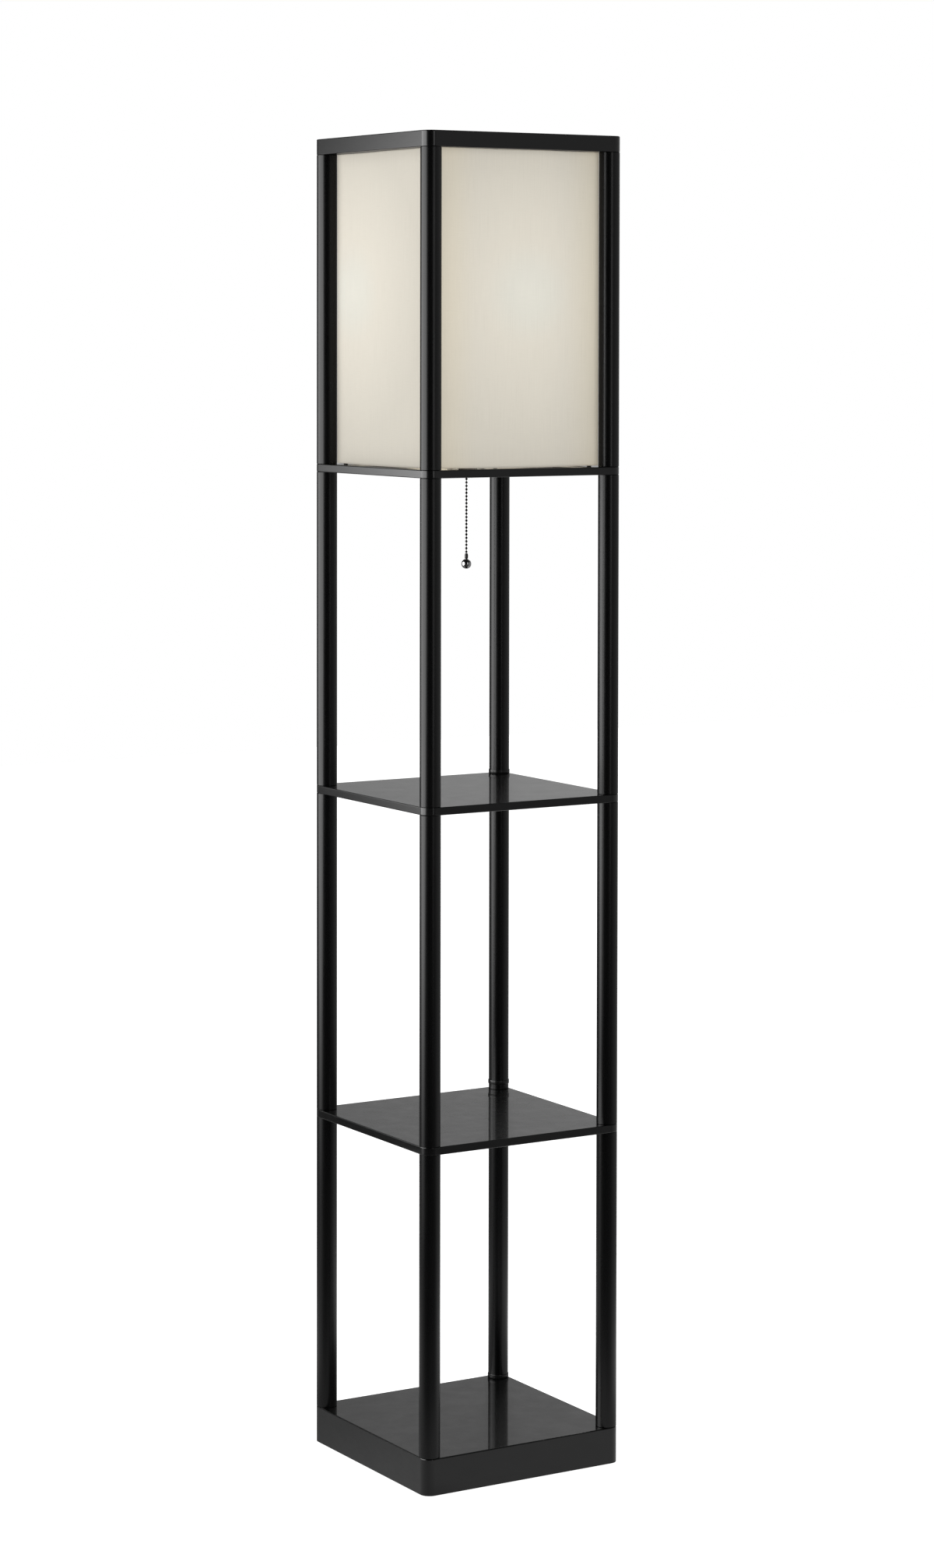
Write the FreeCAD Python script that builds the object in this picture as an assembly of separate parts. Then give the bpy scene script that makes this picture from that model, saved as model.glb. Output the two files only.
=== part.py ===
import FreeCAD
import Part
import math
import os

# Shelf floor lamp: a weighted square base, three tiers of open shelf space between
# four round corner posts, and a lamp deck whose bulb stands in a square fabric shade
# under an open top frame. A bead chain under the deck works the switch.
# The origin is the centre of the footprint on the floor, and +Z is up. Millimetres.

Vector = FreeCAD.Vector

# ---- Driving dimensions ----
lamp_width = 273.0
post_diameter = 25.0
post_wall = 1.2
post_rim_chamfer = 0.5
lowest_post_length = 358.5
lower_post_length = 389.5
upper_post_length = 384.0
lamp_post_length = 376.0
board_thickness = 9.5
edge_softening = 1.0

top_frame_thickness = 19.0
top_frame_rim = 30.0
top_frame_inner_corner = 8.0

foot_diameter = 24.0
foot_thickness = 2.0
foot_standout = 1.0
foot_inset = 36.0
base_height = 43.5
base_wall = 2.0
base_top_thickness = 2.5
base_edge_softening = 1.5
cover_thickness = 2.0
cover_clearance = 0.3
cover_hole_clearance = 0.5
weight_thickness = 28.0
weight_clearance = 4.0
weight_corner = 14.0

boss_radius = 4.0
boss_wall_overlap = 0.5
cover_screw_radius = 1.2
cover_screw_length = 11.0
screw_clearance = 0.05
cover_screw_head_radius = 2.8
cover_screw_head_height = 1.5

stud_radius = 4.0
stud_hole_clearance = 0.25
stud_reach = 10.0
insert_length = 12.0
thread_clearance = 0.05
insert_clearance = 0.05
washer_radius = 8.0
washer_thickness = 1.6
bolt_head_flats = 13.0
bolt_head_height = 5.3
top_stud_depth = 12.0
hole_end_clearance = 0.5

tie_thickness = 0.6
tie_height = 4.8
tie_clearance = 0.05
tie_rises = (0.5, 6.5, 0.3)

shade_tuck_clearance = 0.3
shade_corner = 1.5
sharpest_corner = 0.2
shade_lift = 2.0
shade_top_gap = 0.5
fabric_thickness = 0.5
liner_thickness = 0.4
laminate_clearance = 0.05
wire_radius = 2.0
wire_clearance = 0.2
wire_corner = 4.0
wire_end_offset = 1.0
leg_radius = 2.65
leg_clearance = 0.1
leg_socket_depth = 3.0
leg_socket_clearance = 0.05

grommet_inset = 44.5
grommet_hole_radius = 6.0
grommet_flange_radius = 8.5
grommet_flange_height = 1.5
grommet_clearance = 0.1
grommet_bore_radius = 3.5

nozzle_radius = 5.0
nozzle_bore_radius = 2.5
nozzle_standout = 5.2
nozzle_hole_clearance = 0.2
nozzle_nut_radius = 8.0
nozzle_nut_height = 3.0
nozzle_nut_flutes = 12
nozzle_nut_flute_radius = 0.9
switch_radius = 13.0
switch_wall = 1.0
switch_height = 25.0
switch_base_thickness = 1.6
switch_top_thickness = 1.2

bead_radius = 1.5
bead_pitch = 4.2
bead_wire_radius = 0.45
bead_joint_clearance = 0.1
beads_in_nozzle = 5
beads_below_joint = 20
nozzle_to_first_bead = 2.0
chain_head_radius = 1.6

lever_arm = 8.0
lever_tip_length = 2.6
lever_rise = 8.5
lever_rest_tilt = 18.0
lever_thickness = 1.2
lever_width = 6.0
lever_slot_width = 2.0
lever_slot_back = 1.6
lever_hub_radius = 2.2
lever_head_clearance = 0.3
lever_pin_radius = 0.8
pin_running_clearance = 0.05
pin_seat_clearance = 0.02
ear_thickness = 1.2
ear_side_clearance = 0.3
ear_length = 5.0

rotor_radius = 8.0
rotor_thickness = 3.0
rotor_rise = 16.5
rotor_teeth = 4
rotor_tooth_height = 1.0
rotor_tooth_inner = 5.0
rotor_tooth_angle = 30.0
rotor_shaft_radius = 1.2
rotor_shaft_length = 2.6
rotor_boss_radius = 3.0
rotor_end_clearance = 0.3
contact_width = 4.0
contact_height = 2.0
contact_clearance = 0.3

bracket_width = 22.0
bracket_thickness = 2.0
bracket_inner_half = 18.0
bracket_foot_length = 16.0
bracket_height = 45.0
bracket_bend = 2.0
bracket_screw_radius = 1.9
bracket_screw_depth = 7.0
bracket_screw_head_radius = 4.0
bracket_screw_head_height = 2.4
bracket_hole_clearance = 0.3

stem_radius = 5.0
stem_bore_radius = 3.2
stem_hole_clearance = 0.2
stem_length = 70.0
stem_standout = 10.0
stem_tail = 4.0
stem_nut_flats = 14.0
stem_nut_height = 4.0

socket_neck_radius = 8.0
socket_neck_height = 6.0
socket_cap_radius = 17.0
socket_cap_cone = 5.5
socket_cap_height = 26.0
socket_cap_wall = 1.5
socket_cap_floor = 1.5
socket_shell_height = 34.0
socket_lip_height = 6.0
socket_lip_overhang = 1.5
insulator_clearance = 0.3
insulator_step = 4.0
screw_shell_clearance = 0.2
screw_shell_wall = 0.5
screw_shell_height = 25.0
centre_contact_radius = 3.5
centre_contact_height = 2.5
centre_contact_gap = 1.5

bulb_thread_radius = 12.9
bulb_running_clearance = 0.3
bulb_contact_gap = 0.1
bulb_tip_radius = 4.5
bulb_tip_height = 1.2
bulb_tip_flare = 0.5
bulb_cone_height = 3.8
bulb_shoulder_width = 2.0
bulb_shoulder_height = 2.0
bulb_base_height = 25.5
bulb_radius = 30.0
bulb_length = 105.0
bulb_wall = 1.0
bulb_flare_angle = 20.0
bulb_waist_inset = 2.0
bulb_waist_lift = 1.0

connector_radius = 2.1
connector_length = 6.6
connector_gap = 1.9
connector_upper_part = 3.6
connector_foot_flare = 1.4
connector_foot_inset = 0.4
connector_shoulder = 2.0
connector_shoulder_inset = 0.6
connector_wire_grip = 2.2
ball_radius = 6.0
ball_neck_radius = 1.0
ball_neck_length = 9.1

# ---- Derived sizes and places ----
post_lengths = (lowest_post_length, lower_post_length, upper_post_length, lamp_post_length)
half_width = lamp_width / 2
post_radius = post_diameter / 2
post_bore_radius = post_radius - post_wall
corner_offset = half_width - post_radius
corners = {
    "front_left": (-corner_offset, -corner_offset),
    "front_right": (corner_offset, -corner_offset),
    "rear_left": (-corner_offset, corner_offset),
    "rear_right": (corner_offset, corner_offset),
}
stud_hole_radius = stud_radius + stud_hole_clearance

base_top = foot_standout + base_height
post_lows = [base_top]
for post_length in post_lengths[:-1]:
    post_lows.append(post_lows[-1] + post_length + board_thickness)
lower_shelf_low, middle_shelf_low, deck_low = [low - board_thickness for low in post_lows[1:]]
deck_top = post_lows[3]
frame_low = deck_top + post_lengths[3]

shade_half = corner_offset - (post_radius + shade_tuck_clearance) / math.sqrt(2)
shade_low = deck_top + shade_lift
shade_high = frame_low - shade_top_gap
liner_half = shade_half - fabric_thickness - laminate_clearance
wire_half = liner_half - liner_thickness - wire_clearance - wire_radius
leg_offset = wire_half - wire_radius - leg_clearance - leg_radius

nozzle_mouth = deck_low - nozzle_standout
first_bead = nozzle_mouth - nozzle_to_first_bead
switch_floor = deck_top + switch_base_thickness
lever_pivot = deck_top + switch_base_thickness + lever_rise
bracket_top = deck_top + bracket_height
stem_low = bracket_top - bracket_thickness - stem_nut_height - stem_tail
stem_high = stem_low + stem_length
socket_low = stem_high - stem_standout
socket_cap_high = socket_low + socket_cap_height
insulator_low = socket_low + socket_neck_height + socket_cap_cone + socket_cap_floor
insulator_high = socket_cap_high + insulator_step
screw_shell_radius = bulb_thread_radius + bulb_running_clearance + screw_shell_wall
socket_bore_radius = screw_shell_radius + screw_shell_clearance
bulb_low = insulator_high + centre_contact_height + bulb_contact_gap
bulb_neck = bulb_low + bulb_base_height


# ---- Shape helpers ----
def cylinder(radius, x, y, low, high):
    return Part.makeCylinder(radius, high - low, Vector(x, y, low))


def pipe(outer_radius, inner_radius, x, y, low, high):
    return cylinder(outer_radius, x, y, low, high).cut(cylinder(inner_radius, x, y, low, high))


def block(x_size, y_size, x_centre, y_centre, low, high):
    corner = Vector(x_centre - x_size / 2, y_centre - y_size / 2, low)
    return Part.makeBox(x_size, y_size, high - low, corner)


def rounded_square(side, corner_radius, low, high):
    """A square slab on the lamp's axis with its four upright edges rounded."""
    slab = block(side, side, 0, 0, low, high)
    uprights = [edge for edge in slab.Edges if abs(edge.tangentAt(edge.FirstParameter).z) > 0.99]
    return slab.makeFillet(corner_radius, uprights)


def soften_outline(shape, radius, height):
    """Rounds every edge that lies flat at one height."""
    outline = [
        edge for edge in shape.Edges
        if abs(edge.BoundBox.ZMin - height) < 1e-6 and abs(edge.BoundBox.ZMax - height) < 1e-6
    ]
    return shape.makeFillet(radius, outline)


def turned(profile):
    """Revolves a closed outline of (radius, height) points about the lamp's axis."""
    points = [Vector(radius, 0, height) for radius, height in profile]
    face = Part.Face(Part.makePolygon(points + points[:1]))
    return face.revolve(Vector(0, 0, 0), Vector(0, 0, 1), 360)


def hexagon(across_flats, x, y, low, high):
    reach = across_flats / math.sqrt(3)
    points = [
        Vector(x + reach * math.cos(math.radians(60 * i)), y + reach * math.sin(math.radians(60 * i)), low)
        for i in range(7)
    ]
    return Part.Face(Part.makePolygon(points)).extrude(Vector(0, 0, high - low))


def join(first, others):
    return first.multiFuse(others).removeSplitter()


def write(node, *solids):
    shape = solids[0] if len(solids) == 1 else Part.makeCompound(list(solids))
    shape.exportStep("parts/" + node + ".step")


# ---- Base: feet, cover, weight and shell ----
def boss_places():
    reach = half_width - base_wall - boss_radius + boss_wall_overlap
    return [(reach, 0), (-reach, 0), (0, reach), (0, -reach)]


def base_feet():
    place = half_width - foot_inset
    spots = [(sx * place, sy * place) for sx in (-1, 1) for sy in (-1, 1)]
    return [cylinder(foot_diameter / 2, x, y, 0, foot_thickness) for x, y in spots]


def base_cover():
    side = lamp_width - 2 * (base_wall + cover_clearance)
    corner = post_radius - base_wall - cover_clearance
    plate = rounded_square(side, corner, foot_thickness, foot_thickness + cover_thickness)
    hole = cover_screw_radius + cover_hole_clearance
    for x, y in boss_places():
        plate = plate.cut(cylinder(hole, x, y, 0, base_top))
    return plate


def base_cover_screws():
    screws = []
    for x, y in boss_places():
        head = cylinder(
            cover_screw_head_radius, x, y, foot_thickness - cover_screw_head_height, foot_thickness)
        shank = cylinder(cover_screw_radius, x, y, foot_thickness, foot_thickness + cover_screw_length)
        screws.append(join(head, [shank]))
    return screws


def base_weight():
    low = foot_thickness + cover_thickness
    inner_reach = boss_places()[0][0] - boss_radius - weight_clearance
    casting = rounded_square(2 * inner_reach, weight_corner, low, low + weight_thickness)
    return soften_outline(casting, edge_softening, low + weight_thickness)


def base_shell():
    outer = rounded_square(lamp_width, post_radius, foot_standout, base_top)
    outer = soften_outline(outer, base_edge_softening, base_top)
    hollow = rounded_square(
        lamp_width - 2 * base_wall, post_radius - base_wall,
        foot_standout, base_top - base_top_thickness)
    shell = outer.cut(hollow)
    boss_low = foot_thickness + cover_thickness
    bosses = [
        cylinder(boss_radius, x, y, boss_low, base_top - base_top_thickness / 2)
        for x, y in boss_places()
    ]
    shell = join(shell, bosses)
    for x, y in boss_places():
        screw_end = foot_thickness + cover_screw_length + hole_end_clearance
        shell = shell.cut(cylinder(cover_screw_radius + screw_clearance, x, y, boss_low, screw_end))
    for x, y in corners.values():
        shell = shell.cut(cylinder(stud_hole_radius, x, y, foot_standout, base_top))
    return shell


def base_bolts_and_washers():
    bolts, washers = [], []
    washer_high = base_top - base_top_thickness
    washer_low = washer_high - washer_thickness
    for x, y in corners.values():
        washers.append(pipe(washer_radius, stud_hole_radius, x, y, washer_low, washer_high))
        head = hexagon(bolt_head_flats, x, y, washer_low - bolt_head_height, washer_low)
        shank = cylinder(stud_radius, x, y, washer_low, base_top + stud_reach)
        bolts.append(join(head, [shank]))
    return bolts, washers


# ---- Posts, their threaded inserts and the joining studs ----
def post(x, y, tier):
    """A tube with the outer rim of both its ends turned off."""
    low = post_lows[tier]
    tube = pipe(post_radius, post_bore_radius, x, y, low, low + post_lengths[tier])
    rims = [
        edge for edge in tube.Edges
        if edge.Curve.TypeId == "Part::GeomCircle" and abs(edge.Curve.Radius - post_radius) < 1e-6
    ]
    return tube.makeChamfer(post_rim_chamfer, rims)


def post_inserts():
    """A threaded ring pressed into both ends of every post."""
    outer = post_bore_radius - insert_clearance
    bore = stud_radius + thread_clearance
    rings = []
    for low, length in zip(post_lows, post_lengths):
        for x, y in corners.values():
            rings.append(pipe(outer, bore, x, y, low, low + insert_length))
            rings.append(pipe(outer, bore, x, y, low + length - insert_length, low + length))
    return rings


def post_studs():
    """The studs that join post to post through each board, and post to top frame."""
    spans = [
        (board_low - stud_reach, board_low + board_thickness + stud_reach)
        for board_low in (lower_shelf_low, middle_shelf_low, deck_low)
    ]
    spans.append((frame_low - stud_reach, frame_low + top_stud_depth))
    return [cylinder(stud_radius, x, y, low, high) for low, high in spans for x, y in corners.values()]


def rear_post_ties():
    x, y = corners["rear_right"]
    inner = post_radius + tie_clearance
    outer = inner + tie_thickness
    bands = []
    for tier, rise in enumerate(tie_rises):
        low = post_lows[tier] + rise
        bands.append(pipe(outer, inner, x, y, low, low + tie_height))
    return bands


# ---- Boards ----
def board(low, high):
    slab = rounded_square(lamp_width, post_radius, low, high)
    slab = soften_outline(slab, edge_softening, high)
    return soften_outline(slab, edge_softening, low)


def shelf(low):
    slab = board(low, low + board_thickness)
    for x, y in corners.values():
        slab = slab.cut(cylinder(stud_hole_radius, x, y, low, low + board_thickness))
    return slab


def leg_places():
    return [(sx * leg_offset, sy * leg_offset) for sx in (-1, 1) for sy in (-1, 1)]


def bracket_screw_places():
    reach = bracket_inner_half + bracket_thickness + bracket_foot_length / 2
    return [(-reach, 0), (reach, 0)]


def grommet_place():
    return half_width - grommet_inset, half_width - grommet_inset


def lamp_deck():
    slab = shelf(deck_low)
    nozzle_hole = nozzle_radius + nozzle_hole_clearance
    slab = slab.cut(cylinder(nozzle_hole, 0, 0, deck_low, deck_top))
    grommet_x, grommet_y = grommet_place()
    slab = slab.cut(cylinder(grommet_hole_radius, grommet_x, grommet_y, deck_low, deck_top))
    for x, y in leg_places():
        socket = leg_radius + leg_socket_clearance
        slab = slab.cut(cylinder(socket, x, y, deck_top - leg_socket_depth, deck_top))
    for x, y in bracket_screw_places():
        depth = bracket_screw_depth + hole_end_clearance
        slab = slab.cut(cylinder(bracket_screw_radius + screw_clearance, x, y, deck_top - depth, deck_top))
    return slab


def top_frame():
    frame_high = frame_low + top_frame_thickness
    slab = board(frame_low, frame_high)
    opening = rounded_square(
        lamp_width - 2 * top_frame_rim, top_frame_inner_corner, frame_low, frame_high)
    slab = slab.cut(opening)
    for x, y in corners.values():
        hole_high = frame_low + top_stud_depth + hole_end_clearance
        slab = slab.cut(cylinder(stud_hole_radius, x, y, frame_low, hole_high))
    return slab


def cord_grommet():
    waist = grommet_hole_radius - grommet_clearance
    low = deck_low - grommet_flange_height
    high = deck_top + grommet_flange_height
    ring = turned([
        (grommet_bore_radius, low), (grommet_flange_radius, low), (grommet_flange_radius, deck_low),
        (waist, deck_low), (waist, deck_top), (grommet_flange_radius, deck_top),
        (grommet_flange_radius, high), (grommet_bore_radius, high),
    ])
    ring.translate(Vector(*grommet_place(), 0))
    return ring


# ---- Shade and its wire frame ----
def square_sleeve(outer_half, thickness, corner, low, high):
    outer = rounded_square(2 * outer_half, corner, low, high)
    inner_corner = max(corner - thickness, sharpest_corner)
    return outer.cut(rounded_square(2 * (outer_half - thickness), inner_corner, low, high))


def shade_fabric():
    return square_sleeve(shade_half, fabric_thickness, shade_corner, shade_low, shade_high)


def shade_liner():
    corner = shade_corner - fabric_thickness
    return square_sleeve(liner_half, liner_thickness, corner, shade_low, shade_high)


def shade_ring(height):
    """A round wire bent into a square ring, with its centre line at one height."""
    straight = wire_half - wire_corner
    pieces = []
    for turn in range(4):
        bar = Part.makeCylinder(
            wire_radius, 2 * straight, Vector(-straight, -wire_half, height), Vector(1, 0, 0))
        bend = Part.makeTorus(
            wire_corner, wire_radius, Vector(-straight, -straight, height), Vector(0, 0, 1),
            0, 360, 90)
        bend.rotate(Vector(-straight, -straight, height), Vector(0, 0, 1), 180)
        for piece in (bar, bend):
            piece.rotate(Vector(0, 0, 0), Vector(0, 0, 1), 90 * turn)
            pieces.append(piece)
    return join(pieces[0], pieces[1:])


def shade_legs():
    low = deck_top - leg_socket_depth
    return [cylinder(leg_radius, x, y, low, shade_high - wire_end_offset) for x, y in leg_places()]


# ---- Pull switch under the bulb ----
def switch_base():
    disc = cylinder(switch_radius, 0, 0, deck_top, switch_floor)
    nozzle = cylinder(nozzle_radius, 0, 0, nozzle_mouth, deck_top)
    ears = []
    ear_centre = lever_width / 2 + ear_side_clearance + ear_thickness / 2
    for side in (-1, 1):
        ear_high = lever_pivot + lever_hub_radius
        ears.append(block(ear_length, ear_thickness, -lever_arm, side * ear_centre, switch_floor, ear_high))
    base = join(disc, [nozzle] + ears)
    base = base.cut(cylinder(nozzle_bore_radius, 0, 0, nozzle_mouth, switch_floor))
    seat = Part.makeCylinder(
        lever_pin_radius + pin_seat_clearance, lever_pin_length(),
        Vector(-lever_arm, -lever_pin_length() / 2, lever_pivot), Vector(0, 1, 0))
    return base.cut(seat)


def lever_pin_length():
    return lever_width + 2 * (ear_side_clearance + ear_thickness)


def lever_pin():
    return Part.makeCylinder(
        lever_pin_radius, lever_pin_length(),
        Vector(-lever_arm, -lever_pin_length() / 2, lever_pivot), Vector(0, 1, 0))


def switch_lever():
    """The plate that the chain's head pulls down, tilted up at rest about its pin."""
    hub = Part.makeCylinder(
        lever_hub_radius, lever_width,
        Vector(-lever_arm, -lever_width / 2, lever_pivot), Vector(0, 1, 0))
    plate_length = lever_arm + lever_tip_length
    plate = block(
        plate_length, lever_width, plate_length / 2 - lever_arm, 0,
        lever_pivot - lever_thickness / 2, lever_pivot + lever_thickness / 2)
    lever = join(plate, [hub])
    slot_length = lever_slot_back + lever_tip_length
    slot = block(
        slot_length, lever_slot_width, slot_length / 2 - lever_slot_back, 0,
        lever_pivot - lever_thickness, lever_pivot + lever_thickness)
    bore = Part.makeCylinder(
        lever_pin_radius + pin_running_clearance, lever_width,
        Vector(-lever_arm, -lever_width / 2, lever_pivot), Vector(0, 1, 0))
    lever = lever.cut(slot).cut(bore)
    lever.rotate(Vector(-lever_arm, 0, lever_pivot), Vector(0, 1, 0), -lever_rest_tilt)
    return lever


def rotor_shaft_high():
    return switch_floor + rotor_rise + rotor_thickness + rotor_shaft_length


def switch_rotor():
    low = switch_floor + rotor_rise
    disc = cylinder(rotor_radius, 0, 0, low, low + rotor_thickness)
    shaft = cylinder(rotor_shaft_radius, 0, 0, low + rotor_thickness, rotor_shaft_high())
    teeth = []
    for i in range(rotor_teeth):
        tooth = Part.makeCylinder(
            rotor_radius, rotor_tooth_height, Vector(0, 0, low - rotor_tooth_height), Vector(0, 0, 1),
            rotor_tooth_angle)
        tooth = tooth.cut(cylinder(rotor_tooth_inner, 0, 0, low - rotor_tooth_height, low))
        tooth.rotate(Vector(0, 0, 0), Vector(0, 0, 1), 360 / rotor_teeth * i)
        teeth.append(tooth)
    return join(disc, [shaft] + teeth)


def switch_housing():
    high = switch_floor + switch_height
    cup = cylinder(switch_radius, 0, 0, switch_floor, high)
    cup = soften_outline(cup, edge_softening, high).cut(
        cylinder(switch_radius - switch_wall, 0, 0, switch_floor, high - switch_top_thickness))
    boss_low = switch_floor + rotor_rise + rotor_thickness + rotor_end_clearance
    boss = cylinder(rotor_boss_radius, 0, 0, boss_low, high - switch_top_thickness / 2)
    bore_high = rotor_shaft_high() + rotor_end_clearance
    bore = cylinder(rotor_shaft_radius + pin_running_clearance, 0, 0, boss_low, bore_high)
    return join(cup, [boss]).cut(bore)


def switch_contacts():
    inner = rotor_radius + contact_clearance
    outer = switch_radius - switch_wall - insert_clearance
    low = switch_floor + rotor_rise + (rotor_thickness - contact_height) / 2
    ring = pipe(outer, inner, 0, 0, low, low + contact_height)
    blades = []
    for side in (-1, 1):
        window = block(contact_width, switch_radius, 0, side * switch_radius / 2, low, low + contact_height)
        blades.append(ring.common(window).Solids[0])
    return blades


def nozzle_nut():
    high = deck_low
    low = deck_low - nozzle_nut_height
    nut = pipe(nozzle_nut_radius, nozzle_radius + thread_clearance, 0, 0, low, high)
    for i in range(nozzle_nut_flutes):
        angle = 2 * math.pi * i / nozzle_nut_flutes
        x, y = nozzle_nut_radius * math.cos(angle), nozzle_nut_radius * math.sin(angle)
        nut = nut.cut(cylinder(nozzle_nut_flute_radius, x, y, low, high))
    return nut


# ---- Pull chain ----
def bead(height, radius=bead_radius):
    return Part.makeSphere(radius, Vector(0, 0, height))


def pull_chain_upper():
    """From the round head above the lever down to the first bead under the nozzle."""
    fork_top = lever_pivot + lever_arm * math.sin(math.radians(lever_rest_tilt))
    rise = (lever_thickness / 2 + lever_head_clearance + chain_head_radius)
    head_height = fork_top + rise / math.cos(math.radians(lever_rest_tilt))
    wire = cylinder(bead_wire_radius, 0, 0, first_bead, head_height)
    beads = [bead(first_bead + bead_pitch * i) for i in range(beads_in_nozzle)]
    return join(wire, beads + [bead(head_height, chain_head_radius)])


def pull_chain_middle():
    """One bead and its link, which swings about the last bead of the upper chain."""
    second_bead = first_bead - bead_pitch
    link_high = first_bead - bead_radius - bead_joint_clearance
    return join(cylinder(bead_wire_radius, 0, 0, second_bead, link_high), [bead(second_bead)])


def last_bead_height():
    return first_bead - bead_pitch * (1 + beads_below_joint)


def pull_chain_lower():
    second_bead = first_bead - bead_pitch
    link_high = second_bead - bead_radius - bead_joint_clearance
    wire_low = last_bead_height() - connector_gap - connector_wire_grip
    wire = cylinder(bead_wire_radius, 0, 0, wire_low, link_high)
    beads = [bead(second_bead - bead_pitch * (i + 1)) for i in range(beads_below_joint)]
    return join(wire, beads)


def pull_connector():
    high = last_bead_height() - connector_gap
    low = high - connector_length
    wire_bore = bead_wire_radius + screw_clearance
    neck_bore = ball_neck_radius + screw_clearance
    neck_high = high - connector_upper_part
    return turned([
        (neck_bore, low), (connector_radius - connector_foot_inset, low),
        (connector_radius, low + connector_foot_flare), (connector_radius, high - connector_shoulder),
        (connector_radius - connector_shoulder_inset, high), (wire_bore, high),
        (wire_bore, neck_high), (neck_bore, neck_high),
    ])


def ball_centre():
    neck_high = last_bead_height() - connector_gap - connector_upper_part - screw_clearance
    return neck_high - ball_neck_length


def pull_ball():
    centre = ball_centre()
    neck = cylinder(ball_neck_radius, 0, 0, centre, centre + ball_neck_length)
    return join(Part.makeSphere(ball_radius, Vector(0, 0, centre)), [neck])


# ---- Bracket, stem and socket ----
def socket_bracket():
    """A steel strip bent into a bridge over the switch, with a foot at each side."""
    inner = bracket_inner_half
    outer = inner + bracket_thickness
    foot_end = outer + bracket_foot_length
    foot_top = deck_top + bracket_thickness
    under = bracket_top - bracket_thickness
    right_side = [
        (inner, under), (inner, deck_top), (foot_end, deck_top),
        (foot_end, foot_top), (outer, foot_top), (outer, bracket_top),
    ]
    left_side = [(-x, z) for x, z in reversed(right_side)]
    points = [Vector(x, -bracket_width / 2, z) for x, z in right_side + left_side]
    strip = Part.Face(Part.makePolygon(points + points[:1])).extrude(Vector(0, bracket_width, 0))

    def bend_edges(places):
        found = []
        for edge in strip.Edges:
            middle = edge.BoundBox.Center
            runs_across = edge.BoundBox.YLength > bracket_width / 2
            if runs_across and any(abs(abs(middle.x) - x) + abs(middle.z - z) < 1e-6 for x, z in places):
                found.append(edge)
        return found

    inside_bends = [(inner, under), (outer, foot_top)]
    strip = strip.makeFillet(bracket_bend, bend_edges(inside_bends))
    outside_bends = [(outer, bracket_top), (inner, deck_top)]
    strip = strip.makeFillet(bracket_bend + bracket_thickness, bend_edges(outside_bends))
    strip = strip.cut(cylinder(stem_radius + stem_hole_clearance, 0, 0, under, bracket_top))
    for x, y in bracket_screw_places():
        hole = bracket_screw_radius + bracket_hole_clearance
        strip = strip.cut(cylinder(hole, x, y, deck_top, foot_top))
    return strip


def bracket_screws():
    screws = []
    foot_top = deck_top + bracket_thickness
    for x, y in bracket_screw_places():
        head = cylinder(bracket_screw_head_radius, x, y, foot_top, foot_top + bracket_screw_head_height)
        head = soften_outline(head, edge_softening, foot_top + bracket_screw_head_height)
        shank = cylinder(bracket_screw_radius, x, y, deck_top - bracket_screw_depth, foot_top)
        screws.append(join(head, [shank]))
    return screws


def stem_nuts():
    under = bracket_top - bracket_thickness
    lows = (under - stem_nut_height, bracket_top)
    return [
        hexagon(stem_nut_flats, 0, 0, low, low + stem_nut_height).cut(
            cylinder(stem_radius + thread_clearance, 0, 0, low, low + stem_nut_height))
        for low in lows
    ]


def socket_cap():
    bore = stem_radius + thread_clearance
    cone_low = socket_low + socket_neck_height
    cone_high = cone_low + socket_cap_cone
    return turned([
        (bore, socket_low), (socket_neck_radius, socket_low), (socket_neck_radius, cone_low),
        (socket_cap_radius, cone_high), (socket_cap_radius, socket_cap_high),
        (socket_cap_radius - socket_cap_wall, socket_cap_high),
        (socket_cap_radius - socket_cap_wall, insulator_low), (bore, insulator_low),
    ])


def socket_insulator():
    wide = socket_cap_radius - socket_cap_wall - insulator_clearance
    narrow = socket_bore_radius - insulator_clearance
    base = cylinder(wide, 0, 0, insulator_low, socket_cap_high)
    return join(base, [cylinder(narrow, 0, 0, socket_cap_high, insulator_high)])


def socket_shell():
    high = socket_cap_high + socket_shell_height
    lip_low = high - socket_lip_height
    lip_radius = socket_cap_radius + socket_lip_overhang
    return turned([
        (socket_bore_radius, socket_cap_high), (socket_cap_radius, socket_cap_high),
        (socket_cap_radius, lip_low - socket_lip_overhang), (lip_radius, lip_low),
        (lip_radius, high), (socket_bore_radius, high),
    ])


def screw_shell():
    inner = screw_shell_radius - screw_shell_wall
    sleeve = pipe(screw_shell_radius, inner, 0, 0, insulator_high, insulator_high + screw_shell_height)
    floor = pipe(inner + screw_shell_wall / 2, centre_contact_radius + centre_contact_gap, 0, 0,
                 insulator_high, insulator_high + screw_shell_wall)
    return join(sleeve, [floor])


def centre_contact():
    low = insulator_high
    high = low + centre_contact_height
    return soften_outline(cylinder(centre_contact_radius, 0, 0, low, high), edge_softening, high)


# ---- Bulb ----
def bulb_base():
    tip_high = bulb_low + bulb_tip_height
    cone_high = tip_high + bulb_cone_height
    return turned([
        (0, bulb_low), (bulb_tip_radius, bulb_low), (bulb_tip_radius + bulb_tip_flare, tip_high),
        (bulb_thread_radius - bulb_shoulder_width, cone_high),
        (bulb_thread_radius, cone_high + bulb_shoulder_height),
        (bulb_thread_radius, bulb_neck), (0, bulb_neck),
    ])


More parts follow.
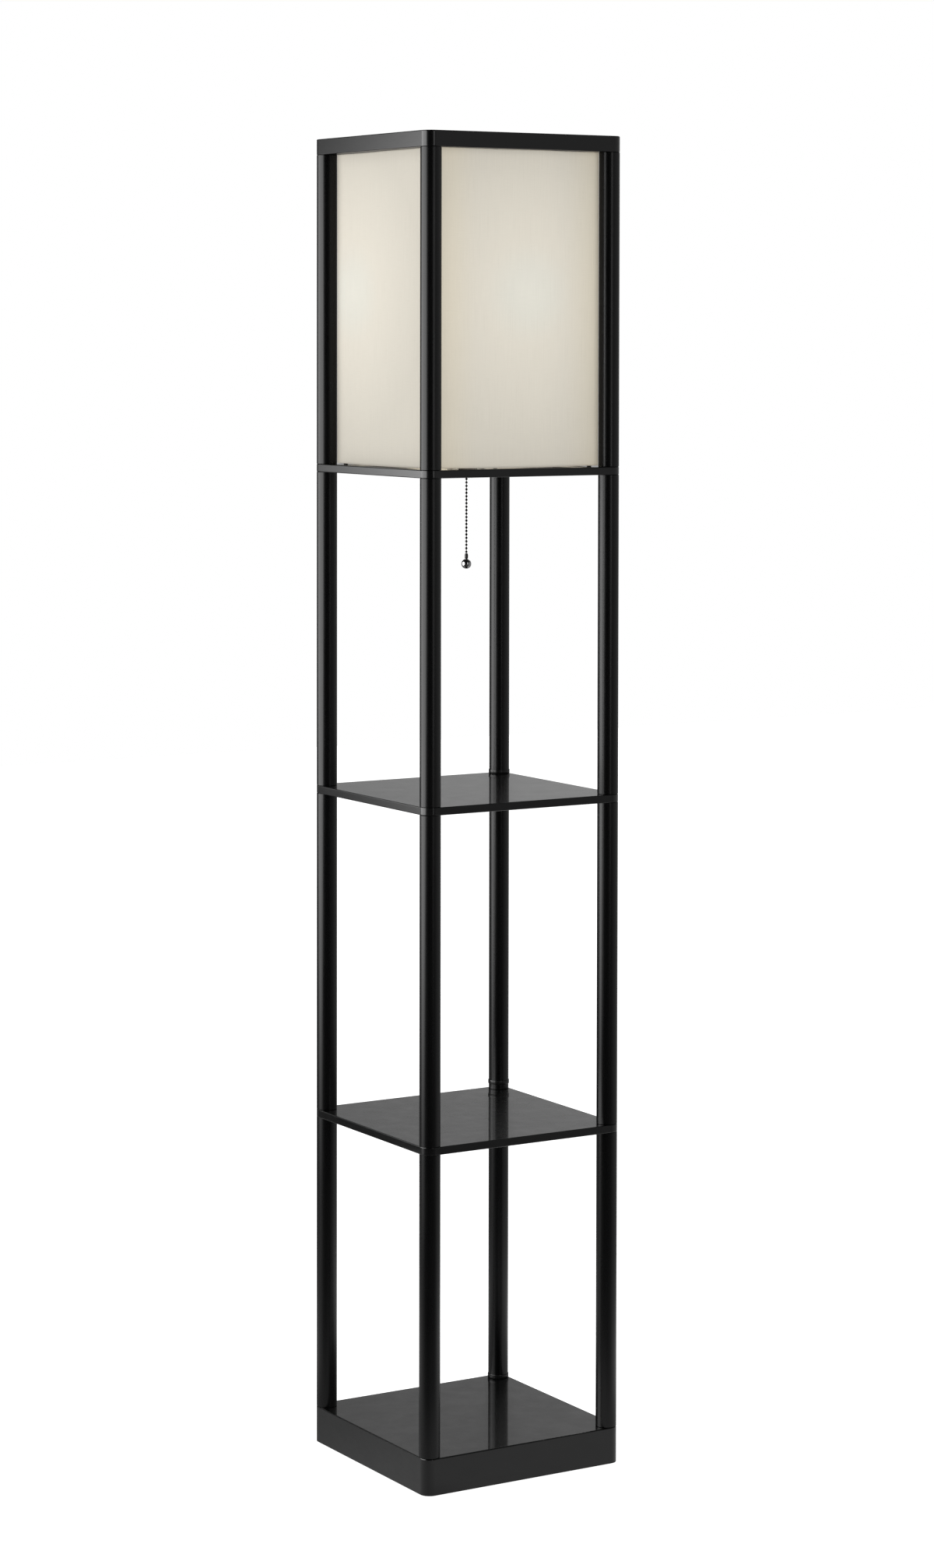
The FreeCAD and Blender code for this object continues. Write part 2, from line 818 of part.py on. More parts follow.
def bulb_outline(inset):
    """The envelope's half outline, from its neck, out along the flare and over the globe."""
    centre = bulb_low + bulb_length - bulb_radius
    radius = bulb_radius - inset

    def on_globe(angle):
        turn = math.radians(angle)
        return Vector(radius * math.cos(turn), 0, centre + radius * math.sin(turn))

    neck = Vector(bulb_thread_radius - inset, 0, bulb_neck)
    meet = on_globe(-bulb_flare_angle)
    side = on_globe((90 - bulb_flare_angle) / 2)
    crown = on_globe(90)
    waist = (neck + meet) / 2 + Vector(-bulb_waist_inset, 0, bulb_waist_lift)
    flare = Part.Arc(neck, waist, meet).toShape()
    globe = Part.Arc(meet, side, crown).toShape()
    return [flare, globe]


def bulb_envelope():
    outer = bulb_outline(0.0)
    inner = bulb_outline(bulb_wall)
    neck_outer = outer[0].Vertexes[0].Point
    neck_inner = inner[0].Vertexes[0].Point
    crown_outer = outer[1].Vertexes[-1].Point
    crown_inner = inner[1].Vertexes[-1].Point
    edges = outer + [Part.makeLine(crown_outer, crown_inner)] + inner
    edges.append(Part.makeLine(neck_inner, neck_outer))
    wire = Part.Wire(Part.__sortEdges__(edges))
    return Part.Face(wire).revolve(Vector(0, 0, 0), Vector(0, 0, 1), 360)


# ---- Write every piece ----
os.makedirs("parts", exist_ok=True)

write("base_feet", *base_feet())
write("base_cover", base_cover())
write("base_cover_screws", *base_cover_screws())
write("base_weight", base_weight())
write("base_shell", base_shell())
bolts, washers = base_bolts_and_washers()
write("base_bolts", *bolts)
write("base_washers", *washers)

for tier in range(len(post_lengths)):
    for corner_name, (x, y) in corners.items():
        write("post_%d_%s" % (tier + 1, corner_name), post(x, y, tier))
write("post_inserts", *post_inserts())
write("post_studs", *post_studs())

write("lower_shelf", shelf(lower_shelf_low))
write("middle_shelf", shelf(middle_shelf_low))
write("lamp_deck", lamp_deck())
write("top_frame", top_frame())
write("rear_post_ties", *rear_post_ties())
write("cord_grommet", cord_grommet())

write("shade_fabric", shade_fabric())
write("shade_liner", shade_liner())
write("shade_lower_ring", shade_ring(shade_low + wire_end_offset + wire_radius))
write("shade_upper_ring", shade_ring(shade_high - wire_end_offset - wire_radius))
write("shade_legs", *shade_legs())

write("switch_base", switch_base())
write("switch_housing", switch_housing())
write("switch_contacts", *switch_contacts())
write("switch_lever", switch_lever())
write("lever_pin", lever_pin())
write("switch_rotor", switch_rotor())
write("nozzle_nut", nozzle_nut())
write("pull_chain_upper", pull_chain_upper())
write("pull_chain_middle", pull_chain_middle())
write("pull_chain_lower", pull_chain_lower())
write("pull_connector", pull_connector())
write("pull_ball", pull_ball())

write("socket_bracket", socket_bracket())
write("bracket_screws", *bracket_screws())
write("lamp_stem", pipe(stem_radius, stem_bore_radius, 0, 0, stem_low, stem_high))
write("stem_nuts", *stem_nuts())
write("socket_cap", socket_cap())
write("socket_insulator", socket_insulator())
write("socket_shell", socket_shell())
write("screw_shell", screw_shell())
write("centre_contact", centre_contact())
write("bulb_base", bulb_base())
write("bulb_envelope", bulb_envelope())

print("base top %.2f" % base_top, "boards", lower_shelf_low, middle_shelf_low, deck_low, frame_low)
print("overall height %.2f" % (frame_low + top_frame_thickness))
pull_travel = 2 * lever_arm * math.sin(math.radians(lever_rest_tilt))
print("first bead %.3f" % first_bead, "lever pivot %.3f" % lever_pivot, "pull %.3f" % pull_travel)
print("shade half %.3f" % shade_half, "leg offset %.3f" % leg_offset)
print("ball centre %.3f" % ball_centre(), "bulb low %.2f" % bulb_low)
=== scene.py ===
import math

import bmesh
import bpy
from mathutils import Matrix, Vector


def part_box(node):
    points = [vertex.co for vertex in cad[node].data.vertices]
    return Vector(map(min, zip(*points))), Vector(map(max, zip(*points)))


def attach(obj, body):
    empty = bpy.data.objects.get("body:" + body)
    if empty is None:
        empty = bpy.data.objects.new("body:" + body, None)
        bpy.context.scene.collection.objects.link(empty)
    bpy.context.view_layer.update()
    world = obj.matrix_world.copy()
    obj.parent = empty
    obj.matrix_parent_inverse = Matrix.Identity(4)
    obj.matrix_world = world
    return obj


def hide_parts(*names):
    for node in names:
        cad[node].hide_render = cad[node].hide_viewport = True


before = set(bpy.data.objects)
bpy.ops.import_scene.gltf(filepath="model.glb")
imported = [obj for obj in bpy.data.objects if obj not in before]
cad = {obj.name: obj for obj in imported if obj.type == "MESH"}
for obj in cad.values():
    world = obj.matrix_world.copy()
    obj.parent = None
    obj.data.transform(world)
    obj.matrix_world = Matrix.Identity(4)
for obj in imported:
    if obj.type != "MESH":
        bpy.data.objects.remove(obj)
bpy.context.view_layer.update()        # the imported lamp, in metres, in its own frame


# ---- Base: four rubber feet, the sheet cover, its screws, the cast weight and the shell ----
# The base is a square enamelled shell, closed below by a sheet steel cover on four screws.
# A cast weight lies inside it, and soft rubber pads lift it off the floor.

def put(tree, kind, sockets=None, **settings):
    """A shader node: its settings first, then its sockets, each given a value or a link."""
    made = tree.nodes.new(kind if kind.startswith("Node") else "ShaderNode" + kind)
    for setting, value in settings.items():
        setattr(made, setting, value)
    for socket, value in (sockets or {}).items():
        if isinstance(value, bpy.types.NodeSocket):
            tree.links.new(value, made.inputs[socket])
        else:
            made.inputs[socket].default_value = value
    return made


def calc(tree, how, first, second=0.0):
    """What a Math node makes of one or two numbers."""
    return put(tree, "Math", {0: first, 1: second}, operation=how).outputs[0]


def times(tree, first, *others):
    """The product of all the numbers given."""
    for other in others:
        first = calc(tree, "MULTIPLY", first, other)
    return first


def vector(tree, how, first, second=(0.0, 0.0, 0.0)):
    """What a VectorMath node makes of one or two vectors: a vector, or the number that how asks for."""
    outputs = put(tree, "VectorMath", {0: first, 1: second}, operation=how).outputs
    return outputs["Value" if how in ("DISTANCE", "DOT_PRODUCT", "LENGTH") else "Vector"]


def along_axis(tree, whole, axis):
    """The one number of a vector that belongs to an axis."""
    return put(tree, "SeparateXYZ", {0: whole}).outputs[axis]


def spread(tree, value, low, high, start=0.0, end=1.0, kind="SMOOTHSTEP"):
    """value led from start to end, eased or LINEAR, while it goes from low to high."""
    return put(tree, "MapRange", {"Value": value, "From Min": low, "From Max": high, "To Min": start,
                                  "To Max": end}, interpolation_type=kind).outputs[0]


def grain(tree, place, scale, stretch=(1.0, 1.0, 1.0), detail=2.0):
    """Soft noise with scale cells to the metre, stretched along an axis where stretch is under 1."""
    drawn = vector(tree, "MULTIPLY", place, stretch)
    return put(tree, "TexNoise", {"Vector": drawn, "Scale": scale, "Detail": detail}).outputs[0]


def tint(tree, amount, first, second):
    """A colour between first and second, nearer to second as amount goes from 0 to 1."""
    return put(tree, "Mix", {0: amount, 6: first, 7: second}, data_type="RGBA").outputs[2]


def relief(tree, height, depth=1.0):
    """A normal that follows a height, in metres or in shares of depth."""
    return put(tree, "Bump", {"Height": height, "Distance": depth, "Strength": 1.0}).outputs[0]


def new_finish(name, plain):
    """A material with one Principled shader, its plain numbers set on the shader's own sockets."""
    mat = bpy.data.materials.new(name)
    mat.use_nodes = True
    tree = mat.node_tree
    tree.nodes.clear()
    skin = put(tree, "BsdfPrincipled", plain)
    put(tree, "OutputMaterial", {"Surface": skin.outputs["BSDF"]})
    return mat, tree, skin, put(tree, "TexCoord").outputs["Object"]


def coat(mat, *names):
    """Gives CAD nodes a material, in the one slot that each has."""
    for name in names:
        cad[name].material_slots[0].material = mat


def new_effect(name, takes):
    """A shader node group: its tree, the sockets it takes, and its colour, roughness and normal."""
    group = bpy.data.node_groups.new(name, "ShaderNodeTree")
    for socket, kind, value in takes:
        made = group.interface.new_socket(socket, in_out="INPUT", socket_type="NodeSocket" + kind)
        if value is not None:
            made.default_value = value
    for socket, kind in (("Color", "Color"), ("Roughness", "Float"), ("Normal", "Vector")):
        group.interface.new_socket(socket, in_out="OUTPUT", socket_type="NodeSocket" + kind)
    return group, put(group, "NodeGroupInput").outputs, put(group, "NodeGroupOutput").inputs


def with_effect(name, plain, effect, **numbers):
    """A material under an effect, whose numbers are given by their socket names."""
    mat, tree, skin, place = new_finish(name, plain)
    sockets = {socket.replace("_", " "): value for socket, value in numbers.items()}
    layer = put(tree, "Group", {"Place": place, **sockets}, node_tree=effect).outputs
    for socket, on_skin in (("Color", "Base Color"), ("Roughness", "Roughness"), ("Normal", "Normal")):
        tree.links.new(layer[socket], skin.inputs[on_skin])
    return mat


# Sprayed enamel or lacquer: a soft orange peel, slow waves in the film, roughness drawn out in
# streaks, and a little dust on what faces up.
film, taken, given = new_effect("sprayed_film", (
    ("Place", "Vector", None), ("Color", "Color", None), ("Smooth", "Float", 0.2), ("Dull", "Float", 0.3),
    ("Streak", "Vector", (1.0, 1.0, 1.0)), ("Streak Scale", "Float", 40.0), ("Peel Scale", "Float", 350.0),
    ("Peel Depth", "Float", 2e-6), ("Wave Depth", "Float", 6e-6), ("Dust", "Float", 0.2),
    ("Edge", "Float", 1.0), ("Roll Depth", "Float", 0.0)))
streaks = grain(film, taken["Place"], taken["Streak Scale"], taken["Streak"], detail=4.0)
peel = grain(film, taken["Place"], taken["Peel Scale"], detail=1.0)
waves = grain(film, taken["Place"], 26.0, detail=1.0)
specks = spread(film, grain(film, taken["Place"], 1100.0, detail=3.0), 0.56, 0.72)
upward = along_axis(film, put(film, "NewGeometry").outputs["Normal"], "Z")
dust = times(film, specks, spread(film, upward, 0.6, 0.95), taken["Dust"])
rough = spread(film, streaks, 0.3, 0.7, taken["Smooth"], taken["Dull"], "LINEAR")
film.links.new(calc(film, "ADD", rough, times(film, dust, 0.3)), given["Roughness"])
film.links.new(tint(film, dust, taken["Color"], (0.30, 0.29, 0.27, 1.0)), given["Color"])
# Towards the edge of a board the film thins out, and mirrors things bent.
outward = vector(film, "ABSOLUTE", taken["Place"])
outward = calc(film, "MAXIMUM", along_axis(film, outward, "X"), along_axis(film, outward, "Y"))
thinning = spread(film, calc(film, "SUBTRACT", taken["Edge"], outward), 0.001, 0.024)
height = calc(film, "ADD", times(film, peel, taken["Peel Depth"]), times(film, waves, taken["Wave Depth"]))
height = calc(film, "ADD", height, times(film, thinning, taken["Roll Depth"]))
film.links.new(relief(film, height), given["Normal"])

# Plain metal: fine drawn scratches and patches of tarnish.
metal, taken, given = new_effect("metal_skin", (
    ("Place", "Vector", None), ("Bright", "Color", None), ("Tarnish", "Color", None),
    ("Stretch", "Vector", (1, 1, 1)), ("Scratch Scale", "Float", 900.0), ("Smooth", "Float", 0.2),
    ("Dull", "Float", 0.4), ("Depth", "Float", 4e-6)))
scratches = grain(metal, taken["Place"], taken["Scratch Scale"], taken["Stretch"], detail=3.0)
patches = spread(metal, grain(metal, taken["Place"], 130.0, detail=4.0), 0.42, 0.68)
worn = calc(metal, "ADD", times(metal, scratches, 0.6), times(metal, patches, 0.4))
metal.links.new(tint(metal, patches, taken["Bright"], taken["Tarnish"]), given["Color"])
metal.links.new(spread(metal, worn, 0.2, 0.8, taken["Smooth"], taken["Dull"], "LINEAR"), given["Roughness"])
metal.links.new(relief(metal, times(metal, scratches, taken["Depth"])), given["Normal"])

# Moulded plastic or rubber: mottled colour, a fine spark-eroded grain, and dull patches.
moulded, taken, given = new_effect("moulded_skin", (
    ("Place", "Vector", None), ("Light", "Color", None), ("Dark", "Color", None),
    ("Grain Scale", "Float", 2200.0), ("Grain Depth", "Float", 1e-5), ("Smooth", "Float", 0.3),
    ("Dull", "Float", 0.5)))
mottle = grain(moulded, taken["Place"], 160.0, detail=5.0)
pits = grain(moulded, taken["Place"], taken["Grain Scale"])
moulded.links.new(tint(moulded, spread(moulded, mottle, 0.3, 0.7), taken["Light"], taken["Dark"]),
                  given["Color"])
moulded.links.new(spread(moulded, mottle, 0.3, 0.7, taken["Smooth"], taken["Dull"], "LINEAR"),
                  given["Roughness"])
moulded.links.new(relief(moulded, times(moulded, pits, taken["Grain Depth"])), given["Normal"])


def sprayed(name, colour, plain=None, **numbers):
    """A finish of sprayed film."""
    return with_effect(name, plain or {}, film, Color=colour, **numbers)


def bare_metal(name, bright, tarnish, plain=None, **numbers):
    """A finish of bare or plated metal."""
    plain = {"Metallic": 1.0, **(plain or {})}
    return with_effect(name, plain, metal, Bright=bright, Tarnish=tarnish, **numbers)


def moulding(name, light, dark, **numbers):
    """A finish of moulded plastic or rubber."""
    return with_effect(name, {}, moulded, Light=light, Dark=dark, **numbers)


def new_piece(name, bm, mat, body="lamp_body", smooth=True):
    """A finished mesh as an object of the lamp: faces outwards, at the origin, riding on its body."""
    sharp_from = math.radians(40)
    bmesh.ops.recalc_face_normals(bm, faces=bm.faces)
    for face in bm.faces:
        face.smooth = smooth
    mesh = bpy.data.meshes.new(name)
    bm.to_mesh(mesh)
    bm.free()
    mesh.set_sharp_from_angle(angle=sharp_from)
    piece = bpy.data.objects.new(name, mesh)
    bpy.context.scene.collection.objects.link(piece)
    mesh.materials.append(mat)
    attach(piece, body)
    return piece


half_width = 0.1365                         # of the boards and the base
black = (0.0018, 0.0018, 0.0019, 1)
clear_coat = {"Specular IOR Level": 0.25, "Coat Weight": 1.0}
foot_rubber = moulding("foot_rubber", (0.020, 0.020, 0.021, 1), (0.010, 0.010, 0.011, 1),
                       Smooth=0.62, Dull=0.8, Grain_Depth=2e-5)
cover_sheet = sprayed("cover_sheet", (0.012, 0.012, 0.013, 1), Smooth=0.35, Dull=0.5, Peel_Depth=6e-6,
                      Dust=0.4)
cast_weight = bare_metal("cast_weight", (0.20, 0.19, 0.18, 1), (0.09, 0.085, 0.08, 1), {"Metallic": 0.9},
                         Scratch_Scale=420.0, Smooth=0.5, Dull=0.8, Depth=1.5e-4)
base_enamel = sprayed("base_enamel", black, {**clear_coat, "Coat Roughness": 0.05}, Smooth=0.32, Dull=0.44,
                      Streak=(1.0, 1.0, 3.0), Peel_Depth=2.5e-6, Wave_Depth=1.2e-5, Dust=0.04,
                      Edge=half_width, Roll_Depth=8e-5)
zinc_steel = bare_metal("zinc_steel", (0.62, 0.63, 0.65, 1), (0.40, 0.40, 0.41, 1), Smooth=0.25, Dull=0.45)
coat(foot_rubber, "base_feet")
coat(cover_sheet, "base_cover")
coat(cast_weight, "base_weight")
coat(base_enamel, "base_shell")
coat(zinc_steel, "base_washers", "base_bolts")


def turn_round(bm, outline, x=0.0, y=0.0, steps=24, closed=False):
    """Spin an outline, as pairs of radius and height, right round the upright line through x, y."""
    line = [bm.verts.new((x + radius, y, height)) for radius, height in outline]
    edges = [bm.edges.new(pair) for pair in zip(line, line[1:] + (line[:1] if closed else []))]
    bmesh.ops.spin(bm, geom=line + edges, cent=(x, y, 0), axis=(0, 0, 1), angle=2 * math.pi, steps=steps,
                   use_merge=True)


def cross_head_screws(node, places, face, seat, tip, head_radius, shank_radius):
    """Screws in the place of a CAD node: domed heads with a cross recess, on ridged shanks.

    face, seat and tip are heights: the top of the head, its underside and the end of the shank.
    """
    half_pitch, thread_root, point_length = 0.0004, 0.76, 0.0030
    cross_half, cross_depth, cross_taper = 0.36, 0.55, 0.8
    bm = bmesh.new()
    out = 1.0 if face > seat else -1.0
    tall = abs(face - seat)
    outline = [(0.60 * head_radius, face), (0.86 * head_radius, face - 0.22 * tall * out),
               (head_radius, face - 0.60 * tall * out), (head_radius, seat), (shank_radius, seat)]
    ridge = seat - half_pitch * out
    while (ridge - tip) * out > point_length:
        outline += [(shank_radius, ridge), (thread_root * shank_radius, ridge - half_pitch * out)]
        ridge -= 2 * half_pitch * out
    outline += [(shank_radius, ridge), (0.0, tip)]
    for x, y in places:
        turn_round(bm, outline, x, y)
        # The crown is a grid of nine cells, and the cross is its middle row and column, sunk.
        crown = bmesh.ops.create_grid(bm, x_segments=3, y_segments=3, size=cross_half * head_radius,
                                      matrix=Matrix.Translation((x, y, face)))["verts"]
        recess = []
        for cell in dict.fromkeys(cell for vert in crown for cell in vert.link_faces):
            middle = cell.calc_center_median()
            if min(abs(middle.x - x), abs(middle.y - y)) < 1e-5:
                recess.append(cell)
        rim = [edge for edge in bm.edges
               if edge.is_boundary and (edge.verts[0].co.xy - Vector((x, y))).length < head_radius]
        bmesh.ops.bridge_loops(bm, edges=rim)
        sunk = bmesh.ops.extrude_face_region(bm, geom=recess)["geom"]
        bottom = [part for part in sunk if isinstance(part, bmesh.types.BMVert)]
        bmesh.ops.translate(bm, verts=bottom, vec=(0, 0, -cross_depth * tall * out))
        bmesh.ops.scale(bm, verts=bottom, vec=(cross_taper, cross_taper, 1.0),
                        space=Matrix.Translation((-x, -y, 0)))
    bmesh.ops.remove_doubles(bm, verts=bm.verts[:], dist=1e-6)
    bmesh.ops.triangulate(bm, faces=[cell for cell in bm.faces if len(cell.verts) > 4])
    screws = new_piece(node + "_turned", bm, zinc_steel)
    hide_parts(node)


low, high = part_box("base_cover_screws")
head_radius = 0.0028
reach = high.x - head_radius
cross_head_screws("base_cover_screws", [(reach, 0), (-reach, 0), (0, reach), (0, -reach)], face=low.z,
                  seat=low.z + 0.0015, tip=high.z, head_radius=head_radius, shank_radius=0.0012)


# ---- Posts: sixteen enamelled tubes in four tiers, with their threaded inserts and studs ----
# Each tube is steel, sprayed black. A threaded ring is pressed into each end, and double-ended
# studs through the boards draw a tier onto the one below it. Nylon bands ring the rear post.
post_enamel = sprayed("post_enamel", black, Smooth=0.24, Dull=0.30, Streak=(1.0, 1.0, 0.12),
                      Streak_Scale=90.0, Peel_Depth=2e-6, Wave_Depth=4e-6, Dust=0.0)
tie_nylon = moulding("tie_nylon", (0.010, 0.010, 0.010, 1), (0.006, 0.006, 0.006, 1), Smooth=0.16, Dull=0.28,
                     Grain_Depth=2e-6)
coat(post_enamel, *(node for node in cad if node.startswith("post_") and node[5].isdigit()))
coat(zinc_steel, "post_inserts", "post_studs")

rear_post, tier_feet = (0.124, 0.124), (0.0450, 0.4190, 0.8118)
inside, shoulder, outside, rounding, tall = 0.01255, 0.01290, 0.01315, 0.0004, 0.0048
outline = ((inside, 0.0), (shoulder, 0.0), (outside, rounding), (outside, tall - rounding), (shoulder, tall),
           (inside, tall))
bm = bmesh.new()
for foot in tier_feet:
    turn_round(bm, [(radius, foot + rise) for radius, rise in outline], *rear_post, steps=56, closed=True)
bands = new_piece("rear_post_bands", bm, tie_nylon)
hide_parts("rear_post_ties")


# ---- Boards: lower shelf, middle shelf and lamp deck, with the cord grommet ----
# The boards are fibreboard with radiused corners, sprayed in several coats and rubbed to a gloss,
# so that they mirror the posts that stand on them.
board_lacquer = sprayed("board_lacquer", black, {**clear_coat, "Coat Roughness": 0.04}, Smooth=0.30, Dull=0.42,
                        Streak=(1.0, 1.0, 6.0), Peel_Scale=240.0, Peel_Depth=1.6e-6, Wave_Depth=6e-6,
                        Dust=0.04, Edge=half_width, Roll_Depth=4e-5)
coat(board_lacquer, "lower_shelf", "middle_shelf", "lamp_deck")
coat(foot_rubber, "cord_grommet")


# ---- Pull switch: steel base, resin housing, fork lever and ratchet rotor ----
# The switch stands over a hole in the deck, and its threaded nozzle goes down through the board
# to a brass nut, so that the chain hangs free below.
switch_resin = moulding("switch_resin", (0.022, 0.013, 0.009, 1), (0.010, 0.006, 0.004, 1), Smooth=0.22,
                        Dull=0.4)
brass = bare_metal("brass", (0.80, 0.58, 0.28, 1), (0.50, 0.33, 0.15, 1), Smooth=0.22, Dull=0.42)
coat(zinc_steel, "switch_base", "switch_lever", "lever_pin")
coat(switch_resin, "switch_housing", "switch_rotor")
coat(brass, "switch_contacts", "nozzle_nut")


# ---- Pull chain: hollow beads on a wire, a bell connector and a turned ball ----
# The beads are rolled from plated strip and swivel on their links. The ball screws on below.
chain_chrome = bare_metal("chain_chrome", (0.09, 0.09, 0.09, 1), (0.04, 0.039, 0.038, 1),
                          {"Specular Tint": (0.18, 0.18, 0.18, 1)}, Smooth=0.10, Dull=0.20, Depth=1e-6)
ball_chrome = bare_metal("ball_chrome", (0.66, 0.66, 0.67, 1), (0.54, 0.54, 0.54, 1), Smooth=0.03, Dull=0.08,
                         Depth=5e-7)
coat(chain_chrome, "pull_chain_upper", "pull_chain_middle", "pull_chain_lower", "pull_connector")
coat(ball_chrome, "pull_ball")


# ---- Lamp holder: bent bracket, threaded stem, socket cap, insulator and shell ----
# A bent steel strap stands over the switch and carries a short threaded tube, to which the
# resin lamp holder screws.
socket_resin = moulding("socket_resin", (0.016, 0.015, 0.014, 1), (0.008, 0.008, 0.008, 1), Smooth=0.2,
                        Dull=0.36)
coat(zinc_steel, "socket_bracket", "stem_nuts")
coat(socket_resin, "socket_cap", "socket_insulator", "socket_shell")
coat(brass, "screw_shell", "centre_contact")

low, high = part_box("lamp_stem")
stem_pitch, stem_thread, bore_radius = 0.0010, 0.0005, 0.0032
outline = [(bore_radius, low.z), (high.x - stem_thread, low.z)]
for turn in range(round((high.z - low.z) / stem_pitch)):
    foot = low.z + turn * stem_pitch
    outline += [(high.x, foot + 0.45 * stem_pitch), (high.x, foot + 0.55 * stem_pitch),
                (high.x - stem_thread, foot + stem_pitch)]
outline.append((bore_radius, high.z))
bm = bmesh.new()
turn_round(bm, outline, steps=32, closed=True)
stem = new_piece("lamp_stem_threaded", bm, zinc_steel, smooth=False)
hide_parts("lamp_stem")

low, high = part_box("bracket_screws")
head_radius = 0.0040
reach = high.x - head_radius
cross_head_screws("bracket_screws", [(reach, 0), (-reach, 0)], face=high.z, seat=high.z - 0.0024, tip=low.z,
                  head_radius=head_radius, shank_radius=0.0015)


# ---- Bulb: rolled screw base and frosted glass ----
# The glass is frosted inside, so that its light leaves the whole bulb evenly. Near the metal
# base it is dimmer and warmer.
bulb_metal = bare_metal("bulb_metal", (0.78, 0.78, 0.77, 1), (0.55, 0.54, 0.52, 1), Smooth=0.2, Dull=0.35)
low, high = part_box("bulb_base")
bulb_pitch, bulb_thread, steps_in_turn = 0.00363, 0.00075, 6
thread_low, thread_steps, skirt_low, rolled_edge = 0.0068, 25, 0.0224, 0.0008
outline = [(0.0, low.z), (0.0045, low.z), (0.0050, low.z + 0.0012), (0.0109, low.z + 0.0050)]
for step in range(thread_steps):
    swell = 0.5 - 0.5 * math.cos(2 * math.pi * step / steps_in_turn)
    rise = thread_low + step * bulb_pitch / steps_in_turn
    outline.append((high.x - bulb_thread * (1.0 - swell), low.z + rise))
outline += [(high.x - 0.0001, low.z + skirt_low), (high.x, high.z - rolled_edge), (high.x - 0.0003, high.z),
            (0.0, high.z)]
bm = bmesh.new()
turn_round(bm, outline, steps=48)
base_cap = new_piece("bulb_base_rolled", bm, bulb_metal)
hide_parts("bulb_base")

bulb_glass, tree, skin, place = new_finish("bulb_glass", {
    "Roughness": 0.12, "Coat Weight": 0.4, "Coat Roughness": 0.05, "Emission Strength": 1.5})
frost = spread(tree, grain(tree, place, 1500.0, detail=3.0), 0.3, 0.7)
tree.links.new(tint(tree, frost, (0.90, 0.88, 0.84, 1), (0.84, 0.82, 0.78, 1)), skin.inputs["Base Color"])
above_base = spread(tree, along_axis(tree, place, "Z"), 1.358, 1.395)
tree.links.new(tint(tree, above_base, (0.35, 0.25, 0.14, 1), (1.0, 0.86, 0.64, 1)),
               skin.inputs["Emission Color"])
coat(bulb_glass, "bulb_envelope")


# ---- Shade: two wire rings on four legs, a plastic lining and the cloth ----
# The cloth is an open weave of uneven yarn, bonded to a translucent lining, wrapped once round
# the rings and lapped at one corner. The lit bulb showing through it is painted on as a glow.
wire_enamel = sprayed("wire_enamel", (0.010, 0.010, 0.010, 1), Smooth=0.3, Dull=0.42, Dust=0.0)
coat(wire_enamel, "shade_lower_ring", "shade_upper_ring", "shade_legs")

shade_lining, tree, skin, place = new_finish("shade_lining", {"Roughness": 0.5, "Emission Strength": 1.0})
sheen = spread(tree, grain(tree, place, 70.0, detail=3.0), 0.3, 0.7)
tree.links.new(tint(tree, sheen, (0.80, 0.78, 0.72, 1), (0.76, 0.74, 0.68, 1)), skin.inputs["Base Color"])
# The lining's glow is painted bulb light: warm emission, strongest nearest the bulb and fading away from it.
from_bulb = vector(tree, "DISTANCE", place, (0.0, 0.0, 1.400))
tree.links.new(tint(tree, spread(tree, from_bulb, 0.11, 0.26), (0.52, 0.48, 0.40, 1), (0.27, 0.245, 0.20, 1)),
               skin.inputs["Emission Color"])
coat(shade_lining, "shade_liner")

cloth_low, cloth_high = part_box("shade_fabric")
cloth_high.z += 0.0004                      # the upper hem rolls over its ring
cloth_half, cloth_corner, cloth_thick = cloth_high.x, 0.0015, 0.00055
cloth_height = cloth_high.z - cloth_low.z
near = 1e-5
bm = bmesh.new()
bmesh.ops.create_grid(bm, x_segments=1, y_segments=1, size=cloth_half,
                      matrix=Matrix.Translation((0, 0, cloth_low.z)))
bmesh.ops.bevel(bm, geom=bm.verts[:], affect="VERTICES", offset=cloth_corner, segments=4, profile=0.5,
                material=-1)
bmesh.ops.delete(bm, geom=bm.faces[:], context="FACES_ONLY")
walls = bmesh.ops.extrude_edge_only(bm, edges=bm.edges[:])["geom"]
raised = [part for part in walls if isinstance(part, bmesh.types.BMVert)]
bmesh.ops.translate(bm, verts=raised, vec=(0, 0, cloth_height))
level_edges = [edge for edge in bm.edges if abs(edge.verts[0].co.z - edge.verts[1].co.z) < 1e-6]
long_edges = [edge for edge in level_edges if edge.calc_length() > cloth_half]
bmesh.ops.subdivide_edges(bm, edges=long_edges, cuts=15, use_grid_fill=True)

# The cloth is turned in over each ring, so that its last few millimetres stand a little proud.
fold, hem, hem_swell = 0.0012, 0.0040, 1.003
for inward in (fold, hem):
    for cut in (cloth_low.z + inward, cloth_high.z - inward):
        bmesh.ops.bisect_plane(bm, geom=bm.verts[:] + bm.edges[:] + bm.faces[:], plane_co=(0, 0, cut),
                               plane_no=(0, 0, 1))
    if inward == fold:
        proud = [v for v in bm.verts
                 if v.co.z < cloth_low.z + fold + near or v.co.z > cloth_high.z - fold - near]
        bmesh.ops.scale(bm, verts=proud, vec=(hem_swell, hem_swell, 1.0))

# Between the feet at its corners the lower hem bows down almost to the deck.
corner_drop, middle_drop, bow_width = 0.0008, 0.0009, 0.80
for vert in bm.verts:
    if vert.co.z < cloth_low.z + near:
        off_middle = min(abs(vert.co.x), abs(vert.co.y)) / cloth_half
        vert.co.z -= corner_drop + middle_drop * (1.0 - min(1.0, off_middle / bow_width) ** 3)


def along_wrap(point):
    """How far round the shade a point is, from the lapped corner at the front right."""
    side = 2 * cloth_half
    x = min(max(point.x, -cloth_half), cloth_half) + cloth_half
    y = min(max(point.y, -cloth_half), cloth_half) + cloth_half
    if abs(point.x) <= abs(point.y):
        return side - x if point.y < 0 else 2 * side + x
    return side + y if point.x < 0 else 4 * side - y


